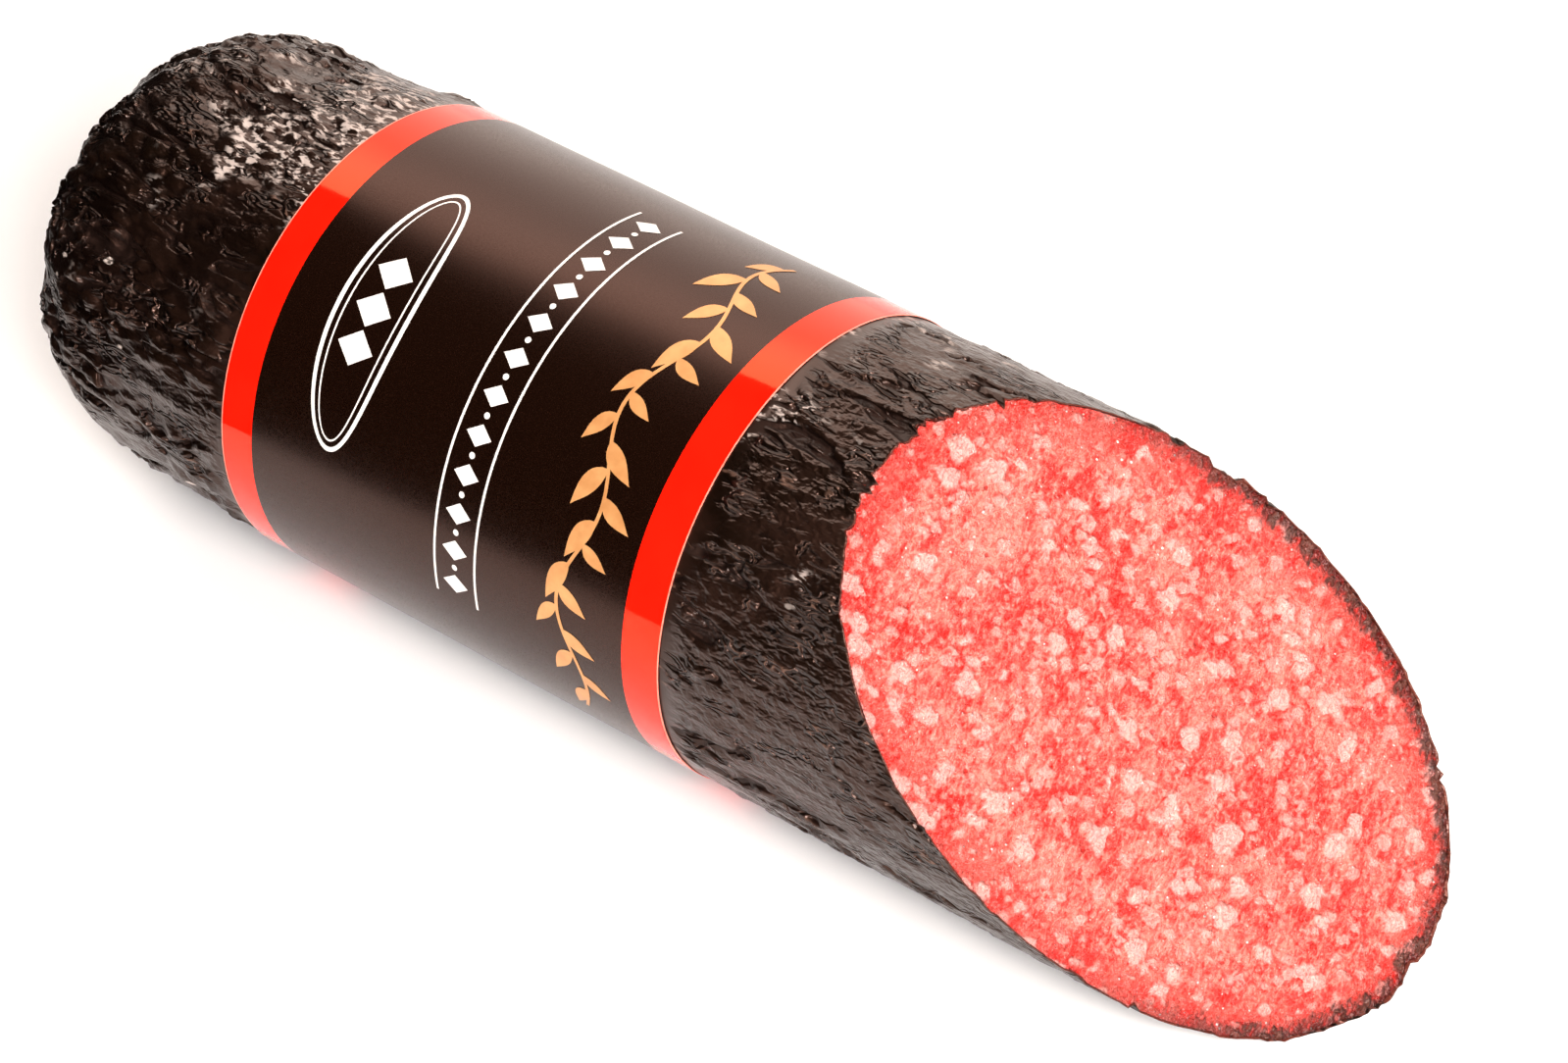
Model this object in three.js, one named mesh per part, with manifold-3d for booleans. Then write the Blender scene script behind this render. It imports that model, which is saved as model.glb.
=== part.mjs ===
// A large-calibre cured sausage: half of a dry salami, cut on the slant at one end.
//
// Four pieces make it up. The meat is one firm mass, stuffed into a thin casing whose far end
// is gathered to a neck and closed with an aluminium clip. A printed label wraps the middle.
// The sausage lies on its side along +X, the slant cut at the +X end, +Z up.
// Lengths are in millimetres. "Along" is a distance from the rounded end's apex towards the cut.

import * as THREE from "three";
import { mergeVertices } from "three/addons/utils/BufferGeometryUtils.js";
import Module from "manifold-3d";

const wasm = await Module();
wasm.setup();

// ---- Driving dimensions ----

const CALIBRE = 90; // across the label, the widest place
const FILM = 0.3; // the label's sheet
const SKIN = 0.5; // the casing's wall
const GAP = 0.3; // between pieces that touch
const AXIS_HEIGHT = 44.2; // a little under the radius, because the sausage lies on a slight flat

const DOME_LENGTH = 36.5; // from the apex to where the sides run straight
const DOME_FULLNESS = { along: 2.7, across: 2.1 }; // 2 and 2 would be an ellipse
const DOME_RADIUS = 43; // the casing at the dome's foot

const LABEL_START = 67.5;
const LABEL_WIDTH = 103;
const LAP_WIDTH = 12; // where the label's ends overlap
const LAP_ANGLE = 322; // degrees round from +Y towards +Z, so the lap is low at the back

const CUT_ALONG = 242; // where the cut plane crosses the axis
const CUT_SLANT = 46.3; // degrees away from a square cut
const CUT_TURN = 20.3; // degrees that the cut face is turned from straight up towards -Y

const NECK_RADIUS = 3;
const NECK_LENGTH = 6.2;
const TAIL_LENGTH = 11; // neck and flare together, beyond the apex
const TAIL_RADIUS = 5;
const TAIL_ROUNDING = 0.8; // the flare's softened outer edge
const SHOULDER = { wider: 1.2, start: 1, end: 0.2 }; // where the neck opens into the dome
const NECK_SHARE = 0.16; // the share of the dome's quarter turn that the neck's shoulder takes
const TIP_SHARE = 0.08; // the same on the solids inside, which have no neck

const CLIP_WIRE = { thick: 2.2, wide: 2.6 };
const CLIP_ALONG = -3.4;
const CLIP_OPENING = 24; // degrees left open between the clip's two ends
const CLIP_ROUNDING = 0.7; // the wire's corners
const CLIP_SQUARENESS = 0.1; // how far the crimping jaws square the loop
const CLIP_FLATTENING = 1.08; // how much wider the crimped loop is than tall

const SIDES = 64; // facets round the sausage
const DOME_STEPS = 9; // facets along the rounded end
const LAP_STEP = 0.05; // degrees that the lapped sheet's step takes up

// ---- Solids from three.js geometry ----

function solidOf(geometry) {
  const bare = geometry.clone();
  bare.deleteAttribute("normal");
  bare.deleteAttribute("uv");
  const merged = mergeVertices(bare, 1e-4);
  const mesh = new wasm.Mesh({
    numProp: 3,
    vertProperties: merged.attributes.position.array,
    triVerts: new Uint32Array(merged.index.array),
  });
  return new wasm.Manifold(mesh);
}

function geometryOf(solid) {
  const mesh = solid.getMesh();
  const geometry = new THREE.BufferGeometry();
  geometry.setAttribute("position", new THREE.BufferAttribute(mesh.vertProperties, 3));
  geometry.setIndex(new THREE.BufferAttribute(mesh.triVerts, 1));
  return geometry;
}

// Turns a profile of (radius, along) points round the sausage's axis, which lies along +X.
function turned(profile) {
  const lathe = new THREE.LatheGeometry(profile, SIDES);
  lathe.rotateZ(-Math.PI / 2);
  return solidOf(lathe);
}

// ---- The sausage's outline ----

const CASING_RADIUS = CALIBRE / 2 - FILM - GAP;

// Stations along the straight part: the sausage fills out towards the label.
const STATIONS = [
  [52, 43.3],
  [LABEL_START - 2, CASING_RADIUS - 0.3],
  [LABEL_START + 10, CASING_RADIUS],
  [LABEL_START + LABEL_WIDTH, CASING_RADIUS],
  [LABEL_START + LABEL_WIDTH + 60, CASING_RADIUS - 0.1],
  [CUT_ALONG + 80, CASING_RADIUS - 0.2],
];

const LAST_ALONG = STATIONS[STATIONS.length - 1][0];

// The rounded end, from near its apex to its foot, drawn in by inset.
function domePoints(inset, firstShare) {
  const points = [];
  for (let i = 0; i <= DOME_STEPS; i += 1) {
    const turn = THREE.MathUtils.lerp(firstShare, 1, i / DOME_STEPS) * (Math.PI / 2);
    const along = DOME_LENGTH - (DOME_LENGTH - inset) * Math.cos(turn) ** (2 / DOME_FULLNESS.along);
    const radius = (DOME_RADIUS - inset) * Math.sin(turn) ** (2 / DOME_FULLNESS.across);
    points.push(new THREE.Vector2(radius, along));
  }
  return points;
}

function sidePoints(inset) {
  return STATIONS.map(([along, radius]) => new THREE.Vector2(radius - inset, along));
}

// A solid of the sausage's shape, drawn in by inset, with a plain rounded end.
function plug(inset) {
  return turned([
    new THREE.Vector2(0, inset),
    ...domePoints(inset, TIP_SHARE),
    ...sidePoints(inset),
    new THREE.Vector2(0, LAST_ALONG),
  ]);
}

// The casing's outside: the same shape with its end gathered to a neck and a flared tail.
function gatheredPlug() {
  return turned([
    new THREE.Vector2(0, -TAIL_LENGTH),
    new THREE.Vector2(TAIL_RADIUS - TAIL_ROUNDING, -TAIL_LENGTH),
    new THREE.Vector2(TAIL_RADIUS, -TAIL_LENGTH + TAIL_ROUNDING),
    new THREE.Vector2(NECK_RADIUS, -NECK_LENGTH),
    new THREE.Vector2(NECK_RADIUS, -SHOULDER.start),
    new THREE.Vector2(NECK_RADIUS + SHOULDER.wider, -SHOULDER.end),
    ...domePoints(0, NECK_SHARE),
    ...sidePoints(0),
    new THREE.Vector2(0, LAST_ALONG),
  ]);
}

// ---- What cuts them ----

const HALF_SPACE = 400;

// Everything lower than this height above the rest plane.
function below(height) {
  const box = new THREE.BoxGeometry(2 * HALF_SPACE, HALF_SPACE, HALF_SPACE);
  box.translate(0, 0, height - AXIS_HEIGHT - HALF_SPACE / 2);
  return solidOf(box);
}

// Everything past the slant cut.
function pastCut() {
  const box = new THREE.BoxGeometry(HALF_SPACE, HALF_SPACE, HALF_SPACE);
  box.translate(HALF_SPACE / 2, 0, 0);
  box.rotateY(-THREE.MathUtils.degToRad(CUT_SLANT));
  box.rotateX(THREE.MathUtils.degToRad(CUT_TURN));
  box.translate(CUT_ALONG, 0, 0);
  return solidOf(box);
}

// ---- The pieces ----

const UNDER_LABEL = FILM + GAP; // the casing's flat is this far above the rest plane

function meatSolid() {
  const inset = SKIN + GAP;
  return plug(inset).subtract(below(UNDER_LABEL + inset)).subtract(pastCut());
}

function casingSolid() {
  const hollow = plug(SKIN).subtract(below(UNDER_LABEL + SKIN));
  return gatheredPlug().subtract(below(UNDER_LABEL)).subtract(hollow).subtract(pastCut());
}

// A closed line round the sausage: a circle with a flat at the bottom, as a path of points.
// With a lap, the line stands out by the film's thickness where the label's ends overlap.
function girth(radius, flatHeight, lapped) {
  const drop = AXIS_HEIGHT - flatHeight;
  const lapHalf = (LAP_WIDTH / 2 / radius) * THREE.MathUtils.RAD2DEG;
  const flatHalf = Math.acos(drop / radius) * THREE.MathUtils.RAD2DEG;
  const stepsAt = lapped ? [LAP_ANGLE - lapHalf, LAP_ANGLE + lapHalf] : [];
  const angles = Array.from({ length: SIDES }, (_, i) => (i * 360) / SIDES)
    .filter((angle) => Math.abs(angle - 270) > flatHalf)
    .filter((angle) => stepsAt.every((edge) => Math.abs(angle - edge) > 1))
    .map((angle) => ({ angle, raised: lapped && Math.abs(angle - LAP_ANGLE) < lapHalf }));
  angles.push({ angle: 270 - flatHalf, raised: false }, { angle: 270 + flatHalf, raised: false });
  stepsAt.forEach((edge, i) => {
    const inward = i === 0 ? LAP_STEP : -LAP_STEP;
    angles.push({ angle: edge, raised: false }, { angle: edge + inward, raised: true });
  });
  angles.sort((a, b) => a.angle - b.angle);
  return angles.map(({ angle, raised }) => {
    const reach = radius + (raised ? FILM : 0);
    const turn = THREE.MathUtils.degToRad(angle);
    return new THREE.Vector2(reach * Math.cos(turn), reach * Math.sin(turn));
  });
}

function labelSolid() {
  const sheet = new THREE.Shape(girth(CALIBRE / 2, 0, true));
  sheet.holes.push(new THREE.Path(girth(CALIBRE / 2 - FILM, FILM, false)));
  const band = new THREE.ExtrudeGeometry(sheet, { depth: LABEL_WIDTH, bevelEnabled: false });
  // The shape's own x and y become Y and Z, and its depth runs along +X.
  band.rotateX(Math.PI / 2);
  band.rotateZ(Math.PI / 2);
  band.translate(LABEL_START, 0, 0);
  return solidOf(band);
}

// The clip's wire, seen end on: a rectangle with rounded corners.
function wireSection() {
  const [x, y] = [CLIP_WIRE.wide / 2, CLIP_WIRE.thick / 2];
  const round = CLIP_ROUNDING;
  const section = new THREE.Shape();
  section.moveTo(-x + round, -y);
  section.lineTo(x - round, -y);
  section.quadraticCurveTo(x, -y, x, -y + round);
  section.lineTo(x, y - round);
  section.quadraticCurveTo(x, y, x - round, y);
  section.lineTo(-x + round, y);
  section.quadraticCurveTo(-x, y, -x, y - round);
  section.lineTo(-x, -y + round);
  section.quadraticCurveTo(-x, -y, -x + round, -y);
  return section;
}

// The wire is bent round the neck until its two ends nearly meet, low on the clip.
class ClipBend extends THREE.Curve {
  getPoint(t, target = new THREE.Vector3()) {
    const first = -90 + CLIP_OPENING / 2;
    const turn = THREE.MathUtils.degToRad(first + t * (360 - CLIP_OPENING));
    const reach = NECK_RADIUS + GAP + CLIP_WIRE.thick / 2;
    const squareness = 1 + CLIP_SQUARENESS * Math.sin(2 * turn) ** 2;
    const y = reach * squareness * Math.cos(turn) * CLIP_FLATTENING;
    const z = reach * squareness * Math.sin(turn);
    return target.set(CLIP_ALONG, y, z);
  }
}

function clipSolid() {
  const settings = { steps: 34, curveSegments: 2, bevelEnabled: false, extrudePath: new ClipBend() };
  return solidOf(new THREE.ExtrudeGeometry(wireSection(), settings));
}

// ---- Materials ----

const FINISHES = {
  meat: { color: 0xd2473f, roughness: 0.45, metalness: 0 },
  casing: { color: 0x1d1512, roughness: 0.4, metalness: 0 },
  label: { color: 0x15100f, roughness: 0.25, metalness: 0 },
  clip: { color: 0xc4c6c8, roughness: 0.3, metalness: 1 },
};

function piece(name, solid) {
  const mesh = new THREE.Mesh(geometryOf(solid), new THREE.MeshStandardMaterial(FINISHES[name]));
  mesh.name = name;
  return mesh;
}

// ---- The sausage, with its origin at the middle of its underside ----

const sausage = new THREE.Group();
sausage.add(piece("meat", meatSolid()));
sausage.add(piece("casing", casingSolid()));
sausage.add(piece("label", labelSolid()));
sausage.add(piece("clip", clipSolid()));

const box = new THREE.Box3().setFromObject(sausage);
const middle = box.getCenter(new THREE.Vector3());
sausage.position.set(-middle.x, -middle.y, -box.min.z);

export default sausage;
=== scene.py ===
# %% [markdown]
# # Half a dry-cured salami, cut on the slant
#
# A salami starts as coarsely minced lean and fat, stuffed into a thin tube of casing. Weeks of
# curing dry it out. The meat shrinks, the skin is too big for it and wrinkles, and the cut face
# shows pale grains of fat in red lean. This one keeps its clipped end and its printed band.
#
# The imported CAD model gives the pieces' main places and sizes, and the rest are set below. All
# lengths are in metres, and `MM` turns millimetres into them. "Along" is a distance from the
# rounded end's apex towards the cut, and "round" is an angle about the sausage's axis, from +Y
# up to +Z.

# %% Load the imported model
import functools
import math

import bpy
import numpy as np
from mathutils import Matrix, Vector, noise


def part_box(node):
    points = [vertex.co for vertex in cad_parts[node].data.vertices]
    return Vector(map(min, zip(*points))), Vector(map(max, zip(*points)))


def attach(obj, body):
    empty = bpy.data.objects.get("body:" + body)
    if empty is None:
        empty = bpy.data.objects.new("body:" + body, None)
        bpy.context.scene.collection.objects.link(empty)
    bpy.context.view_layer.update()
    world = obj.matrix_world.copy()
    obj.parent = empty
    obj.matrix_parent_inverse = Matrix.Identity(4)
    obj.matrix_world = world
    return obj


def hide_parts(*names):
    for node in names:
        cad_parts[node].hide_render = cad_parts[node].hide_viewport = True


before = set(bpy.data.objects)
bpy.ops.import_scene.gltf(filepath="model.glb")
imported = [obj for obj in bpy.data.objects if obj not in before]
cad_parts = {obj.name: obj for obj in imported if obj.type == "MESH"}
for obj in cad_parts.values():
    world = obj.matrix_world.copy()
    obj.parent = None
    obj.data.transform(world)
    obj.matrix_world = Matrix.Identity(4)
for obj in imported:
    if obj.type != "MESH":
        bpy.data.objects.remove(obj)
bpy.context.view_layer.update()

MM = 0.001

# %% Places and sizes that the pieces share
label_low, label_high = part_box("label")
casing_low, casing_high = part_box("casing")
meat_low, meat_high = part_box("meat")
clip_low, clip_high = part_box("clip")

scene = bpy.context.scene
BAND_RADIUS = (label_high.y - label_low.y) / 2
AXIS_HEIGHT = label_high.z - BAND_RADIUS
WALL_AND_GAP = casing_high.y - meat_high.y
APEX_X = meat_low.x - WALL_AND_GAP

LABEL_START = label_low.x - APEX_X
LABEL_END = label_high.x - APEX_X

CUT_ALONG = 242 * MM
CUT_SLANT = math.radians(46.3)
CUT_TURN = math.radians(20.3)
cut_normal = np.array([
    math.cos(CUT_SLANT),
    -math.sin(CUT_SLANT) * math.sin(CUT_TURN),
    math.sin(CUT_SLANT) * math.cos(CUT_TURN),
])
print("band radius, mm:", round(BAND_RADIUS / MM, 2), "axis height, mm:", round(AXIS_HEIGHT / MM, 2))

# %% [markdown]
# ## The camera
#
# It looks down on the cut end from about forty degrees up and forty degrees round, from far
# enough that the sausage narrows only a little. Its place is counted in band radii from the
# middle of the axis at the band's first edge, so it keeps its view whatever the sausage's size.

# %% Place the camera
camera_data = bpy.data.cameras.new("camera")
camera_data.lens = 112.0
camera_data.sensor_width = 36.0
camera = bpy.data.objects.new("camera", camera_data)
scene.collection.objects.link(camera)
band_edge_middle = Vector((label_low.x, 0, AXIS_HEIGHT))
camera.location = band_edge_middle + Vector((11.43, -11.575, 12.187)) * BAND_RADIUS
camera.rotation_euler = (math.radians(90 - 39.34), 0, math.radians(38.87))
scene.camera = camera
print("camera, m:", [round(value, 3) for value in camera.location])

# %% [markdown]
# ## Two helpers for nodes and colours
#
# Shader trees and Geometry Nodes trees are built in the same way, so one function adds a node,
# sets it up and links it. Colours are written as on a paint chart and turned to linear light.

# %% Helpers
def linear(colour):
    """The linear RGBA of an sRGB colour such as "d2473f". A node's colour stays as it is."""
    if not isinstance(colour, str):
        return colour
    parts = [int(colour[i:i + 2], 16) / 255 for i in (0, 2, 4)]
    light = [part / 12.92 if part <= 0.04045 else ((part + 0.055) / 1.055) ** 2.4 for part in parts]
    return (*light, 1.0)


drawing = {"tree": None}  # the node tree that is being drawn, where new nodes go


def add(kind, inputs=None, **settings):
    """Adds a node. An input is a value or another node's output socket."""
    tree = drawing["tree"]
    node = tree.nodes.new(kind)
    for name, value in settings.items():
        setattr(node, name, value)
    for key, value in (inputs or {}).items():
        if isinstance(value, bpy.types.NodeSocket):
            tree.links.new(value, node.inputs[key])
        else:
            node.inputs[key].default_value = value
    return node.outputs


def placed(name, data):
    """A new object in the scene."""
    obj = bpy.data.objects.new(name, data)
    scene.collection.objects.link(obj)
    return obj


def smooth(value, low, high):
    """A smooth step from 0 at low to 1 at high."""
    share = np.clip((value - low) / (high - low), 0, 1)
    return share * share * (3 - 2 * share)


# %% [markdown]
# ## The skin's shape before it wrinkles
#
# The casing is a tube with a domed end, drawn together to a neck under the clip. It is laid out
# as rings of points, sheared so that the last one lies in the slanting cut, and closer together
# where the skin is looked at most.

# %% The profile, from the tail's tip to the straight side
DOME_LENGTH = 36.5 * MM
DOME_RADIUS = 43.0 * MM
DOME_ALONG = 2.7
DOME_ACROSS = 2.1
SIDE_RADIUS = (casing_high.y - casing_low.y) / 2 + 0.25 * MM
TAIL_LENGTH = APEX_X - casing_low.x


def side_radius(along):
    """The skin's radius from the dome to the straight side."""
    to_foot = np.clip(1 - along / DOME_LENGTH, 0, 1)
    dome = DOME_RADIUS * (1 - to_foot ** DOME_ALONG) ** (1 / DOME_ACROSS)
    return dome + (SIDE_RADIUS - DOME_RADIUS) * smooth(along, DOME_LENGTH, LABEL_START)


def evenly(points, spacing):
    """Points at an even spacing along a line of points."""
    points = np.array(points)
    steps = np.linalg.norm(np.diff(points, axis=0), axis=1)
    length = np.concatenate([[0], np.cumsum(steps)])
    wanted = np.linspace(0, length[-1], max(2, round(length[-1] / spacing) + 1))
    return np.stack([np.interp(wanted, length, points[:, i]) for i in (0, 1)], axis=1)


tail_line = np.array([(-11.0, 0.6), (-11.0, 3.6), (-10.7, 4.6), (-9.6, 4.9), (-8.0, 4.1), (-6.4, 3.1),
                      (-4.5, 2.8), (-2.6, 2.9), (-1.6, 3.6), (-0.8, 5.4), (0.0, 8.4), (0.9, 11.6)]) * MM
dome_turn = np.linspace(0.27, 1, 60) * math.pi / 2
dome_along = DOME_LENGTH * (1 - np.cos(dome_turn) ** (2 / DOME_ALONG))
before_band = np.linspace(DOME_LENGTH, LABEL_START - 1.5 * MM, 30)[1:]
open_along = np.concatenate([dome_along, before_band])
open_line = np.stack([open_along, side_radius(open_along)], axis=1)

tail_rings = evenly(tail_line, 1.0 * MM)
open_rings = evenly(np.vstack([tail_rings[-1:], open_line]), 0.8 * MM)[1:]
hidden_along = np.linspace(LABEL_START, LABEL_END - 1.5 * MM, 8)
hidden_rings = np.stack([hidden_along, side_radius(hidden_along)], axis=1)
profile = np.vstack([tail_rings, open_rings, hidden_rings])
print("rings before the cut:", len(tail_rings), len(open_rings), len(hidden_rings))

# %% Rings of the outer skin
COLUMNS = 340
FINER_ROUND = math.radians(133)  # the upper front gets the closest columns
CUT_RINGS = 118
FLAT_HEIGHT = 0.35 * MM  # the skin's flat underside, above the surface that it lies on

turn = np.arange(COLUMNS) / COLUMNS * 2 * math.pi
turn = turn - 0.2 * np.sin(turn - FINER_ROUND)
radial = np.stack([np.zeros(COLUMNS), np.cos(turn), np.sin(turn)], axis=1)
cut_lean = radial @ cut_normal / cut_normal[0]  # how far a ring leans back per unit of radius


def ring_points(along, radius):
    """One point for each column, along may differ from column to column."""
    points = radial * np.broadcast_to(radius, COLUMNS)[:, None]
    points[:, 0] = APEX_X + along
    points[:, 2] = np.maximum(points[:, 2] + AXIS_HEIGHT, FLAT_HEIGHT)
    return points


rings = [ring_points(along, radius) for along, radius in profile]
slopes = np.gradient(profile, axis=0)
slopes /= np.linalg.norm(slopes, axis=1)[:, None]
outward = [radial * slope[0] - np.array([slope[1], 0, 0]) for slope in slopes]

last_along = profile[-1, 0]
rim_along = CUT_ALONG - SIDE_RADIUS * cut_lean
for share in np.linspace(0, 1, CUT_RINGS + 1)[1:]:
    rings.append(ring_points(last_along + (rim_along - last_along) * share, SIDE_RADIUS))
    outward.append(radial - np.outer(cut_lean * share, [1, 0, 0]))

print("outer skin:", len(rings), "rings of", COLUMNS)

# %% [markdown]
# ## A closed skin
#
# The skin is a fifth of a millimetre thick at its cut edge. Its inner wall runs back from there
# in a few rings, since nobody sees it. Each inner point remembers the outer point that it
# belongs to, so that both walls fold together when the wrinkles come.

# %% The inner wall
SKIN_THICK = 0.2 * MM
INNER_DEPTH = 1.9 * MM  # deep inside, where the wall can't show

rim_ring = len(rings) - 1
place = list(rings)
inner_from = rim_ring + 1
for back, depth in ((0, SKIN_THICK), (0.8 * MM, SKIN_THICK), (5 * MM, 1.2 * MM), (12 * MM, INNER_DEPTH)):
    along = rim_along + depth * cut_lean - back
    rings.append(ring_points(along, SIDE_RADIUS - depth))
    place.append(ring_points(along, SIDE_RADIUS))
    outward.append(outward[rim_ring])
neck = len(tail_rings)
for ring in (len(profile) - 8, len(profile) - 40, len(profile) - 80, neck + 14, neck + 3):
    along, radius = profile[ring]
    rings.append(ring_points(along + INNER_DEPTH, radius - INNER_DEPTH))
    place.append(rings[ring])
    outward.append(outward[ring])

rings = np.array(rings)
place = np.array(place)
outward = np.array(outward)
print("with its inner wall:", len(rings), "rings")


# %% Ragged rim, pleats and a mesh
def column_noise(size, seed):
    """Smooth noise round the rim, about -1 to 1, with features of that size in metres."""
    where = radial * SIDE_RADIUS / size
    return np.array([noise.noise(Vector(point) + Vector((seed, 0, 0))) for point in where])


PLEATS = 17
PLEAT_DEPTH = 0.85 * MM
PLEAT_REACH = 11 * MM
CLIPPED_PLEATS = 0.1  # the share of the pleats that the clip leaves standing
CLIPPED_LOOSE = 0.06  # the same of the wrinkles

round_wobble = turn + 0.25 * np.sin(2 * turn + 1) + 0.12 * np.sin(5 * turn)
pleat_wave = np.abs(np.cos(round_wobble * PLEATS / 2)) - 0.64
reach_along = place[:, :, 0] - APEX_X
gripped = smooth(reach_along, -7 * MM, -5.5 * MM) * (1 - smooth(reach_along, -2 * MM, 0.5 * MM))
pleat_fade = np.exp(-np.maximum(reach_along, 0) / PLEAT_REACH) * smooth(reach_along, -TAIL_LENGTH, -8 * MM)
pleat_fade *= 1 - (1 - CLIPPED_PLEATS) * gripped
rings = rings + outward * (pleat_wave * pleat_fade * PLEAT_DEPTH)[:, :, None]

ragged = 0.22 * MM * column_noise(6 * MM, 3.1) + 0.16 * MM * column_noise(1.6 * MM, 8.4) + 0.12 * MM
for ring in (rim_ring, inner_from):
    rings[ring, :, 0] += ragged / cut_normal[0]


def ring_mesh(name, rings, layers):
    """A closed mesh from rings of points. Each layer is one value or vector for each point."""
    count, columns = rings.shape[:2]
    first = np.arange(count - 1)[:, None] * columns
    column = np.arange(columns)[None, :]
    following = (column + 1) % columns
    quads = np.stack([first + column, first + following,
                      first + columns + following, first + columns + column], axis=-1).reshape(-1, 4)
    start_pole, end_pole = count * columns, count * columns + 1
    last = (count - 1) * columns
    fans = [(start_pole, (i + 1) % columns, i) for i in range(columns)]
    fans += [(end_pole, last + i, last + (i + 1) % columns) for i in range(columns)]
    points = np.vstack([rings.reshape(-1, 3), rings[0].mean(axis=0), rings[-1].mean(axis=0)])
    mesh = bpy.data.meshes.new(name)
    mesh.from_pydata(points.tolist(), [], quads.tolist() + fans)
    for layer, values in layers.items():
        ends = np.stack([values[0].mean(axis=0), values[-1].mean(axis=0)])
        flat = np.concatenate([values.reshape(count * columns, -1), ends.reshape(2, -1)])
        kind, field = ("FLOAT_VECTOR", "vector") if flat.shape[1] == 3 else ("FLOAT", "value")
        mesh.attributes.new(layer, kind, "POINT").data.foreach_set(field, flat.ravel().astype(np.float32))
    mesh.shade_smooth()
    return mesh


near_band = smooth(reach_along, LABEL_START - 5 * MM, LABEL_START - 0.5 * MM)
past_band = smooth(reach_along, LABEL_END + 0.5 * MM, LABEL_END + 6 * MM)
loose = 1 - near_band * (1 - past_band)
loose *= CLIPPED_LOOSE + (1 - CLIPPED_LOOSE) * smooth(reach_along, -1 * MM, 10 * MM)
domed = 1 - smooth(reach_along, LABEL_START - 20 * MM, LABEL_START + 20 * MM)
cut_edge = np.zeros(loose.shape)
cut_edge[rim_ring] = 0.7
cut_edge[inner_from:inner_from + 2] = 1
skin_mesh = ring_mesh("casing_skin", rings, {"skin_place": place, "outward": outward, "loose": loose,
                                             "domed": domed, "cut_edge": cut_edge})
skin = placed("casing_skin", skin_mesh)
print("skin triangles:", sum(len(face.vertices) - 2 for face in skin_mesh.polygons))

# %% [markdown]
# ## Wrinkles
#
# Skin that is too big for what it holds goes into lumps, a net of small creases, and long folds
# along the sausage, each a narrow slit between two raised lips. Cell noise gives the net, and a
# fold follows the line where drawn-out smooth noise crosses its middle value. Geometry Nodes
# moves the points, and the material draws the same folds again, sharper than the mesh can.

# %% Nodes that both kinds of tree share
NOISE = "ShaderNodeTexNoise"


def maths(operation, *values):
    return add("ShaderNodeMath", dict(enumerate(values)), operation=operation)[0]


def vectors(operation, *values):
    return add("ShaderNodeVectorMath", dict(enumerate(values)), operation=operation)[0]


def scaled(place, size):
    return add("ShaderNodeVectorMath", {0: place, "Scale": size}, operation="SCALE")[0]


def dot(first, second):
    values = {0: first, 1: tuple(second)}
    return add("ShaderNodeVectorMath", values, operation="DOT_PRODUCT")["Value"]


def vector(x=0.0, y=0.0, z=0.0):
    return add("ShaderNodeCombineXYZ", {"X": x, "Y": y, "Z": z})[0]


def parts_of(place):
    return add("ShaderNodeSeparateXYZ", {0: place})


def times(*values):
    """The product of the values, taken in turn."""
    return functools.reduce(lambda first, second: maths("MULTIPLY", first, second), values)


def plus(*values):
    """The sum of the values, taken in turn."""
    return functools.reduce(lambda first, second: maths("ADD", first, second), values)


def nearest_cell(place):
    """The nearest point of cell noise: its distance and its own random colour."""
    return add("ShaderNodeTexVoronoi", {"Vector": place, "Scale": 1.0}, feature="F1")


def discs(radius, distance, softness):
    """Soft discs of that radius about the cells' points."""
    return ramp(plus(radius, times(distance, -1.0)), 0.0, softness)


def cell_edge(place):
    """How far a place is from the edge of its cell."""
    values = {"Vector": place, "Scale": 1.0}
    return add("ShaderNodeTexVoronoi", values, feature="DISTANCE_TO_EDGE")["Distance"]


def ramp(value, low, high, start=0.0, end=1.0):
    """A smooth step of a value, from start at low to end at high."""
    limits = {"Value": value, "From Min": low, "From Max": high, "To Min": start, "To Max": end}
    return add("ShaderNodeMapRange", limits, interpolation_type="SMOOTHSTEP")["Result"]


def fading(value, low, high):
    """A smooth step down, from 1 at low to 0 at high."""
    return ramp(value, low, high, 1.0, 0.0)


def speckle(place, size, detail, roughness=0.5):
    """Smooth noise about 0.5, with features of that size."""
    values = {"Vector": place, "Scale": 1 / size, "Detail": detail, "Roughness": roughness}
    return add(NOISE, values)["Fac"]


def warped(position, stretch, warp_scale, warp_amount, offset):
    """A position scaled along each axis, shifted by an offset and pushed about by smooth noise."""
    moved = vectors("ADD", vectors("MULTIPLY", position, stretch), offset)
    push = add(NOISE, {"Vector": moved, "Scale": warp_scale, "Detail": 2.0})["Color"]
    centred = vectors("SUBTRACT", push, (0.5, 0.5, 0.5))
    return vectors("ADD", moved, scaled(centred, warp_amount))


def fold_lines(position, across, along, seed, scarcity):
    """How far a place is from the nearest long fold, and how open that fold is there, 0 to 1."""
    shift = (seed * 1.7, seed * 2.3, seed * 3.1)
    bent = warped(position, (1 / along, 1 / across, 1 / across), 0.9, 0.8, shift)
    wave = speckle(bent, 1.0, 1.5)
    away = maths("ABSOLUTE", plus(wave, -0.5))
    chance = speckle(bent, 1 / 0.63, 1.0)
    return away, ramp(chance, scarcity, scarcity + 0.1)


# %% The wrinkle tree
FOLD_ACROSS = 6.0 * MM
FOLD_ALONG = 19.0 * MM
FOLD_SEED = 4.0
FOLD_SCARCITY = 0.465


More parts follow.
